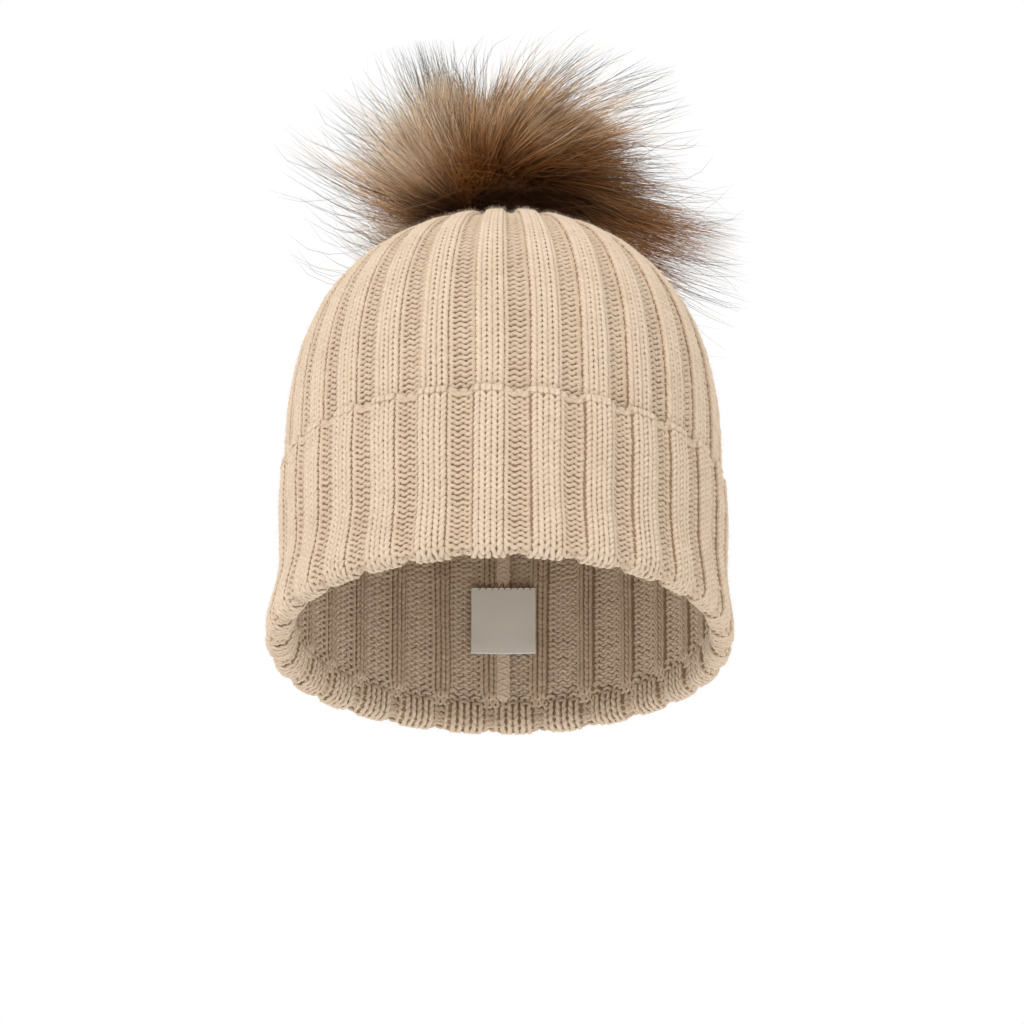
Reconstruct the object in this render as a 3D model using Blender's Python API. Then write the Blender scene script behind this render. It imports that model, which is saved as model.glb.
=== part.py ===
"""Rib-knit beanie with a turned-up cuff and a fur pom-pom on a press stud.

Frame: +Z up as worn, the front of the head towards -Y, the wearer's left
towards +X.  The origin is the centre of the rim opening.  The hat is worn
tipped back, so its own axis leans back by TILT about X.  Metres throughout.
Heights called z below run along the hat's own axis, from the rim.
"""
import bpy
import bmesh
from math import sin, cos, pi, radians, sqrt
from mathutils import Matrix, Vector

MM = 0.001

# ---- driving dimensions (mm and degrees) ----
TILT = 20.0            # the hat's axis leans back by this much
RIM_A = 88.6           # half-width of the knit under the cuff, across the head
OVAL = 1.215           # front-to-back size over side-to-side size
CROWN_A = 90.0         # half-width of the crown above the cuff
CROWN_Z = 74.0         # height at which the crown starts to round over
CROWN_H = 179.0        # height of the crown's apex
DOME_N = 2.55          # roundness of the dome's profile
KNIT_T = 3.3           # thickness of one knit layer
CUFF_H = 70.0          # height of the turned-up cuff
CUFF_SKEW = 3.0        # the cuff's upper edge rides this much higher on one side
FOLD_H = 5.7           # height of the roll where the cuff turns
HOLE_R = 7.5           # gathered hole at the apex
GAP = 0.3              # clearance between neighbours
SEG = 48               # segments round the hat

STUD_FLANGE_R = 7.2
STUD_HEAD_R = 3.2
STUD_TOP = 183.8
POST_R = 2.0
SOCKET_R = 6.5
PELT_R = 22.0
PELT_Z = 207.0         # centre of the pelt ball
PELT_T = 1.2
FUR_R = 74.0           # reach of the guard hairs, sideways
FUR_TOP = 254.0        # height of the guard hairs' top
UNDER_R = 47.0         # reach of the dense underfur

LABEL_W = 28.0
LABEL_H = 30.0
LABEL_T = 1.0
LABEL_TOP = 60.0

for old in list(bpy.data.objects):
    bpy.data.objects.remove(old, do_unlink=True)


# ---- materials ----
def material(name, colour, roughness, metallic=0.0):
    mat = bpy.data.materials.new(name)
    mat.use_nodes = True
    shader = mat.node_tree.nodes["Principled BSDF"]
    shader.inputs["Base Color"].default_value = (*colour, 1.0)
    shader.inputs["Roughness"].default_value = roughness
    shader.inputs["Metallic"].default_value = metallic
    return mat


WOOL = material("wool", (0.60, 0.46, 0.32), 0.92)
WOOL_CUFF = material("wool_cuff", (0.62, 0.48, 0.34), 0.92)
YARN = material("yarn", (0.55, 0.42, 0.29), 0.9)
FELT = material("felt", (0.52, 0.40, 0.28), 0.95)
METAL = material("nickel", (0.62, 0.60, 0.57), 0.32, 1.0)
STEEL = material("spring_steel", (0.55, 0.55, 0.56), 0.3, 1.0)
HIDE = material("hide", (0.58, 0.46, 0.34), 0.7)
FILL = material("fill", (0.85, 0.84, 0.80), 0.95)
DISC = material("base_disc", (0.10, 0.07, 0.05), 0.6)
THREAD = material("thread", (0.20, 0.14, 0.09), 0.8)
FUR_IN = material("underfur", (0.30, 0.18, 0.09), 0.9)
FUR_OUT = material("guard_hair", (0.36, 0.22, 0.11), 0.85)
LABEL = material("label", (0.86, 0.82, 0.74), 0.6)


# ---- building ----
def empty(name, z=0.0, parent=None, tilt=0.0, y=0.0):
    node = bpy.data.objects.new(name, None)
    node.location = (0.0, y * MM, z * MM)
    node.rotation_euler = (tilt, 0.0, 0.0)
    node.parent = parent
    bpy.context.collection.objects.link(node)
    return node


def finish(bm, name, mat, parent, smooth=True, angle=35.0, origin=(0.0, 0.0, 0.0)):
    """Turn a bmesh drawn in the hat's own millimetres into a named object whose
    origin is at the given point of the hat's frame."""
    bmesh.ops.recalc_face_normals(bm, faces=bm.faces)
    bmesh.ops.translate(bm, vec=[-c for c in origin], verts=bm.verts)
    bmesh.ops.scale(bm, vec=(MM, MM, MM), verts=bm.verts)
    mesh = bpy.data.meshes.new(name)
    bm.to_mesh(mesh)
    bm.free()
    if smooth:
        mesh.shade_smooth()
        mesh.set_sharp_from_angle(angle=radians(angle))
    mesh.materials.append(mat)
    ob = bpy.data.objects.new(name, mesh)
    ob.parent = parent
    bpy.context.collection.objects.link(ob)
    return ob


def loops(bm, rings):
    return [[bm.verts.new(p) for p in ring] for ring in rings]


def band(bm, one, two):
    n = len(one)
    for i in range(n):
        j = (i + 1) % n
        bm.faces.new((one[i], one[j], two[j], two[i]))


def tube_of(rings, closed):
    """Closed body from rings of equal count: a doughnut if closed, else capped."""
    bm = bmesh.new()
    made = loops(bm, rings)
    for one, two in zip(made, made[1:]):
        band(bm, one, two)
    if closed:
        band(bm, made[-1], made[0])
    else:
        bm.faces.new(made[0])
        bm.faces.new(made[-1])
    return bm


def turned(profile, steps=20):
    """Spin an (r, z) outline about the hat's axis.  An outline that starts and
    ends on the axis makes a solid, any other one is a closed ring."""
    bm = bmesh.new()
    verts = [bm.verts.new((r, 0.0, z)) for r, z in profile]
    edges = [bm.edges.new(pair) for pair in zip(verts, verts[1:])]
    if profile[0][0] > 0.0:
        edges.append(bm.edges.new((verts[-1], verts[0])))
    bmesh.ops.spin(bm, geom=verts + edges, cent=(0, 0, 0), axis=(0, 0, 1),
                   angle=2 * pi, steps=steps, use_merge=True)
    bmesh.ops.remove_doubles(bm, verts=bm.verts, dist=1e-4)
    return bm


def ring_wire(radius, wire, z, steps=24, sides=6):
    return turned([(radius + wire * cos(2 * pi * k / sides + 0.5),
                    z + wire * sin(2 * pi * k / sides + 0.5))
                   for k in range(sides)], steps)


def oval_at(a):
    """How much longer than wide the hat is where it is 2a wide."""
    return 1.0 + (OVAL - 1.0) * (min(a, CROWN_A) / CROWN_A) ** 0.35


def oval_ring(a, offset, z, skew=0.0):
    """Oval loop, offset inwards by a wall thickness."""
    out = []
    for i in range(SEG):
        t = 2 * pi * i / SEG
        x = (a - offset) * cos(t)
        y = (a * oval_at(a) - offset) * sin(t)
        out.append((x, y, z - skew * cos(t)))
    return out


def dome(t, a, height):
    """Point of the crown's profile, t from 0 at the side to 90 at the apex."""
    c = max(cos(radians(t)), 0.0) ** (2.0 / DOME_N)
    s = sin(radians(t)) ** (2.0 / DOME_N)
    return a * c, CROWN_Z + (height - CROWN_Z) * s


hat = empty("hat_frame", tilt=radians(-TILT))
snap_axis = empty("snap_axis", z=STUD_TOP - 2.0, parent=hat)

# ---- the knitted body: one wall from inside the fold to the gathered apex ----
DOME_STEPS = (10, 21, 32, 43, 54, 64, 73, 80, 85)
LAST = 87.6
outer = [oval_ring(RIM_A, 0.0, FOLD_H + GAP),
         oval_ring(RIM_A, 0.0, 36.0),
         oval_ring(RIM_A, 0.0, CUFF_H - 6.0),
         oval_ring(CROWN_A, 0.0, CROWN_Z + 1.5)]
inner = [oval_ring(RIM_A, KNIT_T, FOLD_H + GAP),
         oval_ring(RIM_A, KNIT_T, 36.0),
         oval_ring(RIM_A, KNIT_T, CUFF_H - 6.0),
         oval_ring(CROWN_A, KNIT_T, CROWN_Z + 1.5)]
for step in DOME_STEPS:
    a, z = dome(step, CROWN_A, CROWN_H)
    outer.append(oval_ring(a, 0.0, z))
    a, z = dome(step, CROWN_A - KNIT_T, CROWN_H - KNIT_T)
    inner.append(oval_ring(a, 0.0, z))
a, z = dome(LAST, CROWN_A, CROWN_H)
outer.append(oval_ring(HOLE_R, 0.0, z))
a, z = dome(LAST, CROWN_A - KNIT_T, CROWN_H - KNIT_T)
inner.append(oval_ring(HOLE_R, 0.0, z))
finish(tube_of(outer + inner[::-1], True), "knit_crown", WOOL, hat)

# ---- the turned-up cuff with the roll it turns on ----
CUFF_IN = RIM_A + GAP
cuff = [oval_ring(91.7, 0.0, CUFF_H, CUFF_SKEW),
        oval_ring(92.5, 0.0, 54.0),
        oval_ring(91.9, 0.0, 30.0),
        oval_ring(93.3, 0.0, 13.0),
        oval_ring(94.0, 0.0, 6.0),
        oval_ring(93.0, 0.0, 1.8),
        oval_ring(91.0, 0.0, 0.0),
        oval_ring(88.6, 0.0, 0.0),
        oval_ring(86.6, 0.0, 1.8),
        oval_ring(85.6, 0.0, FOLD_H),
        oval_ring(CUFF_IN, 0.0, FOLD_H),
        oval_ring(CUFF_IN, 0.0, 30.0),
        oval_ring(CUFF_IN, 0.0, CUFF_H - 6.0),
        oval_ring(90.2, 0.0, CUFF_H - 1.0, CUFF_SKEW)]
# the upper edge leans out over the crown, which bulges above it
finish(tube_of(cuff, True), "knit_cuff", WOOL_CUFF, hat)


# ---- the seam up the inside of the back ----
def back_wall(z):
    """Depth of the wall's inner face at the back, and the way it faces."""
    return RIM_A * OVAL - KNIT_T


SEAM_GAP = GAP + 0.3   # the wall's inner face is made of flats, so a little more
seam_path = [(back_wall(0) - SEAM_GAP, z) for z in (9.0, 34.0, 60.0)]
for step in (3, 12, 23, 34, 45, 56, 66, 75):
    a, z = dome(step, CROWN_A - KNIT_T, CROWN_H - KNIT_T)
    seam_path.append((a * oval_at(a) - SEAM_GAP * cos(radians(step)) - 0.5,
                      z - SEAM_GAP * sin(radians(step)) - 0.3))
SEAM_W, SEAM_T = 6.0, 1.4
rings = []
for i, (y, z) in enumerate(seam_path):
    before = seam_path[max(i - 1, 0)]
    after = seam_path[min(i + 1, len(seam_path) - 1)]
    along = Vector((0.0, after[0] - before[0], after[1] - before[1])).normalized()
    inward = Vector((0.0, -along.z, along.y))
    centre = Vector((0.0, y, z))
    if i == 3:
        centre += inward * 0.4
    w = Vector((SEAM_W / 2, 0.0, 0.0))
    rings.append([tuple(centre - w), tuple(centre + w),
                  tuple(centre + w * 0.7 + inward * SEAM_T),
                  tuple(centre - w * 0.7 + inward * SEAM_T)])
finish(tube_of(rings, False), "back_seam", YARN, hat, smooth=False)

# ---- the care label, hinged along its sewn upper edge, and its stitches ----
LABEL_Y = back_wall(0) - SEAM_GAP - SEAM_T - GAP
label_axis = empty("label_axis", z=LABEL_TOP, y=LABEL_Y, parent=hat)
bm = bmesh.new()
bmesh.ops.create_cube(bm, size=1.0)
bmesh.ops.scale(bm, vec=(LABEL_W, LABEL_T, LABEL_H), verts=bm.verts)
bmesh.ops.translate(bm, vec=(0.0, -LABEL_T / 2, -LABEL_H / 2), verts=bm.verts)
bmesh.ops.bevel(bm, geom=[e for e in bm.edges
                          if abs(e.verts[0].co.x - e.verts[1].co.x) > 1.0
                          and e.verts[0].co.z < -1.0],
                offset=0.3, segments=2, affect="EDGES")
finish(bm, "care_label", LABEL, label_axis, smooth=False)

# one thread, running in and out of the seam: thick where it shows
bm = bmesh.new()
rings = []
for k in range(17):
    x = -11.0 + 22.0 * k / 16
    swell = 0.24 + 0.16 * abs(sin(pi * k / 4))
    rings.append([(x, LABEL_Y - 0.5 + swell * cos(2 * pi * j / 6),
                   LABEL_TOP + 1.6 + swell * sin(2 * pi * j / 6)) for j in range(6)])
finish(tube_of(rings, False), "label_stitch", THREAD, hat)

# ---- the gathered apex: drawn-up yarn, felt backing, and the snap's hat half ----
finish(ring_wire(6.1, 0.9, CROWN_H - 1.9), "crown_gather_yarn", YARN, hat)
FELT_TOP = CROWN_H - 4.2
finish(turned([(2.4, FELT_TOP), (2.4, FELT_TOP - 1.6), (15.0, FELT_TOP - 1.6),
               (16.0, FELT_TOP - 1.1), (16.0, FELT_TOP - 0.3), (15.2, FELT_TOP)], 28),
       "felt_backing", FELT, hat)
CAP_TOP = FELT_TOP - 1.6 - GAP
finish(turned([(0.0, STUD_TOP - 0.9), (POST_R, STUD_TOP - 0.9), (POST_R, CAP_TOP),
               (7.0, CAP_TOP), (7.5, CAP_TOP - 0.4), (7.0, CAP_TOP - 1.0),
               (4.0, CAP_TOP - 1.5), (0.0, CAP_TOP - 1.7)]),
       "snap_cap", METAL, hat)
STUD_BASE = CROWN_H + GAP
finish(turned([(POST_R + GAP, STUD_BASE), (STUD_FLANGE_R - 0.4, STUD_BASE),
               (STUD_FLANGE_R, STUD_BASE + 0.4), (STUD_FLANGE_R - 0.4, STUD_BASE + 1.0),
               (3.4, STUD_BASE + 1.1), (2.75, STUD_BASE + 1.7),
               (3.05, STUD_BASE + 2.6), (STUD_HEAD_R, STUD_BASE + 3.4),
               (3.0, STUD_TOP - 0.2), (2.6, STUD_TOP), (POST_R + GAP, STUD_TOP)]),
       "snap_stud", METAL, hat)

# ---- the snap's pom-pom half: the ring spring grips the stud ----
SPRING_Z = STUD_BASE + 2.1
finish(ring_wire(3.95, 0.42, SPRING_Z, 20, 6), "socket_spring", STEEL, snap_axis,
       origin=(0.0, 0.0, STUD_TOP - 2.0))
SOCKET_Z = STUD_BASE + 1.1 + GAP
SOCKET_TOP = STUD_TOP + 1.1
finish(turned([(3.55, SOCKET_Z), (SOCKET_R - 0.5, SOCKET_Z), (SOCKET_R, SOCKET_Z + 0.5),
               (SOCKET_R, SOCKET_TOP - 0.5), (SOCKET_R - 0.5, SOCKET_TOP),
               (POST_R + GAP, SOCKET_TOP), (POST_R + GAP, STUD_TOP + 0.4),
               (4.75, STUD_TOP + 0.4), (4.75, SOCKET_Z + 0.28), (3.55, SOCKET_Z + 0.15)]),
       "snap_socket", METAL, snap_axis, origin=(0.0, 0.0, STUD_TOP - 2.0))

DISC_Z = SOCKET_TOP + GAP
DISC_T = 1.2
finish(turned([(POST_R + GAP, DISC_Z), (11.6, DISC_Z), (12.0, DISC_Z + 0.4),
               (12.0, DISC_Z + DISC_T - 0.4), (11.6, DISC_Z + DISC_T),
               (POST_R + GAP, DISC_Z + DISC_T)], 24),
       "pom_base_disc", DISC, snap_axis, origin=(0.0, 0.0, STUD_TOP - 2.0))
TOP_CAP_Z = DISC_Z + DISC_T + GAP
finish(turned([(0.0, STUD_TOP + 0.7), (POST_R, STUD_TOP + 0.7), (POST_R, TOP_CAP_Z),
               (6.5, TOP_CAP_Z), (7.0, TOP_CAP_Z + 0.5), (6.3, TOP_CAP_Z + 1.1),
               (0.0, TOP_CAP_Z + 1.3)]),
       "socket_cap", METAL, snap_axis, origin=(0.0, 0.0, STUD_TOP - 2.0))

# ---- the pom-pom: hide pouch, filling, drawstring, and the fur on it ----
PELT_STEPS = 22
lip = 9.0
lip_angle = -sqrt(1.0 - (lip / PELT_R) ** 2)


def ball(radius, low, high, count):
    """(r, z) points of a ball's outline between two heights."""
    out = []
    from math import asin
    start, stop = asin(low / radius), asin(high / radius)
    for k in range(count):
        t = start + (stop - start) * k / (count - 1)
        out.append((radius * cos(t) if abs(t) < pi / 2 - 1e-6 else 0.0,
                    PELT_Z + radius * sin(t)))
    return out


pelt_out = ball(PELT_R, PELT_R * lip_angle, PELT_R, 10)
pelt_in = ball(PELT_R - PELT_T, (PELT_R - PELT_T) * -0.906, PELT_R - PELT_T, 9)
bm = turned([pelt_out[-1]] + pelt_out[-2::-1] + pelt_in[:-1] + [pelt_in[-1]], PELT_STEPS)
finish(bm, "pom_pelt", HIDE, snap_axis, origin=(0.0, 0.0, STUD_TOP - 2.0), angle=50)
finish(ring_wire(8.15, 0.5, TOP_CAP_Z + 0.75, 20, 6), "pom_drawstring", THREAD,
       snap_axis, origin=(0.0, 0.0, STUD_TOP - 2.0))
FILL_R = PELT_R - PELT_T - GAP
fill_low = TOP_CAP_Z + 1.3 + GAP + 0.2 - PELT_Z
fill = ball(FILL_R, fill_low, FILL_R, 8)
finish(turned([(0.0, fill[0][1])] + fill, PELT_STEPS), "pom_stuffing", FILL,
       snap_axis, origin=(0.0, 0.0, STUD_TOP - 2.0), angle=50)

# the fur: dense underfur round the hide, and the longer guard hairs over it
SKIN_R = PELT_R + GAP + 0.1
skin = ball(SKIN_R, -sqrt(SKIN_R ** 2 - 13.0 ** 2), SKIN_R, 9)


def fur_outline(reach, top, low_z, low_r, count, power):
    """Outline of a fur layer from its lower, outer edge to its top."""
    mid = PELT_Z - 9.0
    out = []
    for k in range(count):
        t = radians(-38.0 + 128.0 * k / (count - 1))
        c = max(cos(t), 0.0) ** (2.0 / power)
        s = abs(sin(t)) ** (2.0 / power)
        z = mid + s * ((top - mid) if t > 0 else -(mid - low_z))
        out.append((reach * c if k < count - 1 else 0.0, z))
    return out


under = fur_outline(UNDER_R, 240.0, 176.0, 0, 9, 2.2)
bm = turned([under[-1]] + under[-2::-1] + [(33.0, 183.4), (13.4, 188.0)]
            + skin[1:-1] + [skin[-1]], 26)
finish(bm, "pom_underfur", FUR_IN, snap_axis, origin=(0.0, 0.0, STUD_TOP - 2.0), angle=60)

guard = fur_outline(FUR_R, FUR_TOP, 160.0, 0, 10, 2.2)
inside = [(r + GAP + 0.5, z) for r, z in under]
cover = []
for r, z in guard:
    cover.append((r, z))
shell = fur_outline(FUR_R - 6.0, FUR_TOP - 5.0, 165.0, 0, 10, 2.2)
bm = turned([guard[-1]] + guard[-2::-1] + shell[:-1] + [shell[-1]], 30)
finish(bm, "pom_guard_hair", FUR_OUT, snap_axis, origin=(0.0, 0.0, STUD_TOP - 2.0), angle=60)
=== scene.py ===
import math

import bpy
import numpy as np
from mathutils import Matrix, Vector


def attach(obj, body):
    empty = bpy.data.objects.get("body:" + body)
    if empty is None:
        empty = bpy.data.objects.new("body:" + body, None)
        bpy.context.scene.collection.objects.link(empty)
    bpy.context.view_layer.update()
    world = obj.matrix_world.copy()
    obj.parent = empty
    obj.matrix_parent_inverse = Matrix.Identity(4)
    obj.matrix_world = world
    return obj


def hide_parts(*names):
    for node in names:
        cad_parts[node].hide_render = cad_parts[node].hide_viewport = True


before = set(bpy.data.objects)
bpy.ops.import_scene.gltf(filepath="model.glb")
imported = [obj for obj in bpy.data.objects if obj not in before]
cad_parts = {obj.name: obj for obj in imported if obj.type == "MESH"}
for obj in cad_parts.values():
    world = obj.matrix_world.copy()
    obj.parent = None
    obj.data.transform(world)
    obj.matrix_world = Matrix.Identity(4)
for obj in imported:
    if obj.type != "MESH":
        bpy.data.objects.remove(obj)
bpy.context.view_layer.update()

rng = np.random.default_rng(20731)

# --------------------------------------------------------------------------
# the hat's own frame: its axis leans back by TILT about X; millimetres in it
# --------------------------------------------------------------------------
TILT = math.radians(20.0)
CT, ST = math.cos(TILT), math.sin(TILT)


def to_world(p):
    """Hat-frame millimetres to world metres."""
    p = np.asarray(p, float)
    out = np.empty_like(p)
    out[..., 0] = p[..., 0]
    out[..., 1] = p[..., 1] * CT + p[..., 2] * ST
    out[..., 2] = -p[..., 1] * ST + p[..., 2] * CT
    return out * 0.001


def to_hat(w):
    """World metres to hat-frame millimetres."""
    w = np.asarray(w, float) * 1000.0
    out = np.empty_like(w)
    out[..., 0] = w[..., 0]
    out[..., 1] = w[..., 1] * CT - w[..., 2] * ST
    out[..., 2] = w[..., 1] * ST + w[..., 2] * CT
    return out


def smooth(x):
    x = np.clip(x, 0.0, 1.0)
    return x * x * (3.0 - 2.0 * x)


def step(x, a, b):
    return smooth((x - a) / (b - a))


# --------------------------------------------------------------------------
# meshes from arrays
# --------------------------------------------------------------------------
def mesh_object(name, verts, quads=None, tris=None, uv=None, colours=None, values=None,
                materials=(), smooth_shade=True, world=False):
    """verts in hat millimetres (or world metres).  uv is per corner, quads first."""
    co = np.asarray(verts, float)
    if not world:
        co = to_world(co)
    nq = 0 if quads is None else len(quads)
    nt = 0 if tris is None else len(tris)
    mesh = bpy.data.meshes.new(name)
    mesh.vertices.add(len(co))
    mesh.vertices.foreach_set("co", co.astype(np.float32).ravel())
    loops = nq * 4 + nt * 3
    mesh.loops.add(loops)
    mesh.polygons.add(nq + nt)
    index = []
    starts = []
    if nq:
        index.append(np.asarray(quads, np.int32).ravel())
        starts.append(np.arange(nq, dtype=np.int32) * 4)
    if nt:
        index.append(np.asarray(tris, np.int32).ravel())
        starts.append(nq * 4 + np.arange(nt, dtype=np.int32) * 3)
    mesh.loops.foreach_set("vertex_index", np.concatenate(index))
    mesh.polygons.foreach_set("loop_start", np.concatenate(starts))
    if uv is not None:
        layer = mesh.uv_layers.new(name="OFBake")
        layer.data.foreach_set("uv", np.asarray(uv, np.float32).ravel())
    mesh.update(calc_edges=True)
    if smooth_shade:
        mesh.polygons.foreach_set("use_smooth", np.ones(nq + nt, bool))
    if colours is not None:
        layer = mesh.color_attributes.new(name="tint", type="FLOAT_COLOR", domain="POINT")
        rgba = np.ones((len(co), 4), np.float32)
        rgba[:, :3] = colours
        layer.data.foreach_set("color", rgba.ravel())
    if values is not None:
        for key, data in values.items():
            layer = mesh.attributes.new(name=key, type="FLOAT", domain="POINT")
            layer.data.foreach_set("value", np.asarray(data, np.float32).ravel())
    for mat in materials:
        mesh.materials.append(mat)
    ob = bpy.data.objects.new(name, mesh)
    bpy.context.scene.collection.objects.link(ob)
    return ob


# --------------------------------------------------------------------------
# materials
# --------------------------------------------------------------------------
class Nodes:
    def __init__(self, name):
        self.mat = bpy.data.materials.new(name)
        self.mat.use_nodes = True
        self.tree = self.mat.node_tree
        self.shader = self.tree.nodes["Principled BSDF"]

    def new(self, kind, **inputs):
        node = self.tree.nodes.new(kind)
        for key, value in inputs.items():
            if key.startswith("_"):
                setattr(node, key[1:], value)
            else:
                node.inputs[key.replace("__", " ")].default_value = value
        return node

    def link(self, a, b):
        self.tree.links.new(a, b)

    def set(self, **values):
        for key, value in values.items():
            self.shader.inputs[key.replace("__", " ")].default_value = value


def ramp(nodes, stops):
    node = nodes.new("ShaderNodeValToRGB")
    elements = node.color_ramp.elements
    while len(elements) < len(stops):
        elements.new(0.5)
    for element, (at, colour) in zip(elements, stops):
        element.position = at
        element.color = (*colour, 1.0)
    return node


def lin(r, g, b):
    """sRGB 0-255 to linear."""
    c = np.array([r, g, b], float) / 255.0
    return tuple(np.where(c <= 0.04045, c / 12.92, ((c + 0.055) / 1.055) ** 2.4))


def wool_material(name, light, dark, fibre=True):
    n = Nodes(name)
    coord = n.new("ShaderNodeTexCoord")
    big = n.new("ShaderNodeTexNoise", Scale=70.0, Detail=2.0, Roughness=0.5)
    n.link(coord.outputs["Object"], big.inputs["Vector"])
    fine = n.new("ShaderNodeTexNoise", Scale=1500.0, Detail=4.0, Roughness=0.7)
    n.link(coord.outputs["Object"], fine.inputs["Vector"])
    calm = n.new("ShaderNodeMath", _operation="MULTIPLY_ADD")
    n.link(big.outputs["Fac"], calm.inputs[0])
    calm.inputs[1].default_value = 0.30
    calm.inputs[2].default_value = 0.35
    mix = n.new("ShaderNodeMath", _operation="MULTIPLY_ADD")
    n.link(fine.outputs["Fac"], mix.inputs[0])
    mix.inputs[1].default_value = 0.85
    n.link(calm.outputs[0], mix.inputs[2])
    # the shade attribute darkens the colour: painted shade in the rib channels, on the loop parts turned inward and on
    # the web behind the loops
    shade = n.new("ShaderNodeAttribute", _attribute_name="shade")
    less = n.new("ShaderNodeMath", _operation="MULTIPLY_ADD")
    n.link(shade.outputs["Fac"], less.inputs[0])
    less.inputs[1].default_value = -0.55
    n.link(mix.outputs[0], less.inputs[2])
    tone = ramp(n, [(0.25, dark), (0.62, tuple(0.5 * (a + b) for a, b in zip(light, dark))),
                    (1.0, light)])
    n.link(less.outputs[0], tone.inputs["Fac"])
    n.link(tone.outputs["Color"], n.shader.inputs["Base Color"])
    n.set(Roughness=0.9, Sheen__Weight=0.35, Sheen__Roughness=0.5, Specular__IOR__Level=0.25)
    n.shader.inputs["Sheen Tint"].default_value = (*light, 1.0)
    if fibre:
        fuzz = n.new("ShaderNodeTexNoise", Scale=2600.0, Detail=3.0, Roughness=0.65)
        n.link(coord.outputs["Object"], fuzz.inputs["Vector"])
        bump = n.new("ShaderNodeBump", Strength=0.55, Distance=0.00025)
        n.link(fuzz.outputs["Fac"], bump.inputs["Height"])
        n.link(bump.outputs["Normal"], n.shader.inputs["Normal"])
    return n.mat


WOOL_LIGHT = lin(221, 201, 178)
WOOL_DARK = lin(182, 156, 128)
wool = wool_material("wool_yarn", WOOL_LIGHT, WOOL_DARK)
wool_fibre = wool_material("wool_fibre", lin(232, 214, 192), lin(206, 184, 156), fibre=False)
# a darker copy of the wool for the web behind the loops: painted shade between them
wool_painted_shade = wool_material("wool_between_painted_shade", lin(160, 134, 106), lin(118, 94, 70), fibre=False)


# --------------------------------------------------------------------------
# the knitted tube: its path from the apex, down the crown, round the fold
# and up the cuff, and every course of yarn laid on it
# --------------------------------------------------------------------------
CROWN_A, CROWN_Z, CROWN_H, DOME_N, OVAL = 90.0, 74.0, 179.0, 2.55, 1.215
WALL = 1.65                      # half the thickness of one knit layer
RIBS, WALES = 28, 140            # 3 knit and 2 purl wales to each rib
COURSE = 2.42                    # height of one course
CUFF_TOP = 70.0
SKEW = 3.0


def oval_at(a):
    return 1.0 + (OVAL - 1.0) * (np.minimum(a, CROWN_A) / CROWN_A) ** 0.35


def make_path():
    pts = []
    ra, hh = CROWN_A - WALL, CROWN_H - WALL - CROWN_Z
    for t in np.radians(np.linspace(87.2, 0.0, 160)):
        pts.append((ra * math.cos(t) ** (2 / DOME_N), CROWN_Z + hh * math.sin(t) ** (2 / DOME_N)))
    pts += [(87.6, 69.0), (86.95, 62.0), (86.9, 45.0), (86.8, 25.0), (86.75, 9.0)]
    centre_a, centre_z, r = 89.75, 4.2, 3.0
    for t in np.radians(np.linspace(180.0, 360.0, 24)):
        pts.append((centre_a + r * math.cos(t), centre_z + r * math.sin(t)))
    pts += [(92.6, 8.0), (92.0, 13.5), (90.8, 22.0), (90.2, 30.0), (90.5, 42.0), (90.9, 54.0),
            (90.5, 63.0), (90.15, CUFF_TOP)]
    pts = np.array(pts)
    d = np.r_[0.0, np.cumsum(np.hypot(*np.diff(pts, axis=0).T))]
    s = np.arange(0.0, d[-1], 0.2)
    a, z = np.interp(s, d, pts[:, 0]), np.interp(s, d, pts[:, 1])
    k = np.exp(-0.5 * (np.arange(-16, 17) / 5.0) ** 2)
    k /= k.sum()
    a = np.convolve(np.pad(a, 16, mode="reflect", reflect_type="odd"), k, "valid")
    z = np.convolve(np.pad(z, 16, mode="reflect", reflect_type="odd"), k, "valid")
    da, dz = np.gradient(a, s), np.gradient(z, s)
    m = np.hypot(da, dz)
    da, dz = da / m, dz / m
    # going down the crown the face of the cloth is outward: turn the heading by +90 degrees
    return s, a, z, -dz, da


P_S, P_A, P_Z, P_NR, P_NZ = make_path()
bottom = int(np.argmin(P_Z))
S_FOLD = P_S[bottom]
S_END = P_S[-1]
S_SWAP = S_FOLD - 12.0           # knit and purl change places inside, just above the roll

# angle for an equal share of the hat's girth, 0 at the front
_phi = np.linspace(0.0, 2 * math.pi, 4001)
_arc = np.r_[0.0, np.cumsum(np.hypot(90.0 * np.cos((_phi[1:] + _phi[:-1]) / 2),
                                     109.0 * np.sin((_phi[1:] + _phi[:-1]) / 2)))]
_arc /= _arc[-1]


def phi_of(u):
    whole = np.floor(u)
    return np.interp(u - whole, _arc, _phi) + whole * 2 * math.pi


PHASE = 2.7


def pattern(w):
    """+1 in knit wales and -1 in purl wales, w counted in wales from the front."""
    p = np.mod(w + PHASE, 5.0)
    edge = 0.16
    up = smooth((p + edge) / (2 * edge)) - smooth((p - 3.0 + edge) / (2 * edge)) \
        + smooth((p - 5.0 + edge) / (2 * edge))
    return 2.0 * up - 1.0


def rib_top(w):
    """1 on the flat tops of the ribs and 0 in the channels."""
    p = np.mod(w + PHASE, 5.0)
    edge = 0.42
    return smooth((p + edge) / (2 * edge)) - smooth((p - 3.0 + edge) / (2 * edge)) \
        + smooth((p - 5.0 + edge) / (2 * edge))


def relief(w, s):
    """Height of the ribs: about +1 on their tops, and below 0 in the channels, which fill
    out where the cloth turns over the roll and close to a groove under it."""
    up = rib_top(w)
    p = np.mod(w + PHASE, 5.0)
    valley = -1.25 + 1.05 * np.exp(-((s - (S_FOLD + 3.4)) / 2.7) ** 2) \
        - 0.9 * step(s, S_FOLD - 16.0, S_FOLD - 9.0) * (1 - step(s, S_FOLD - 1.5, S_FOLD + 1.0))
    return valley + (1.0 - valley) * up + 0.14 * np.sin(np.pi * np.clip(p / 3.0, 0, 1)) * up


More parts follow.
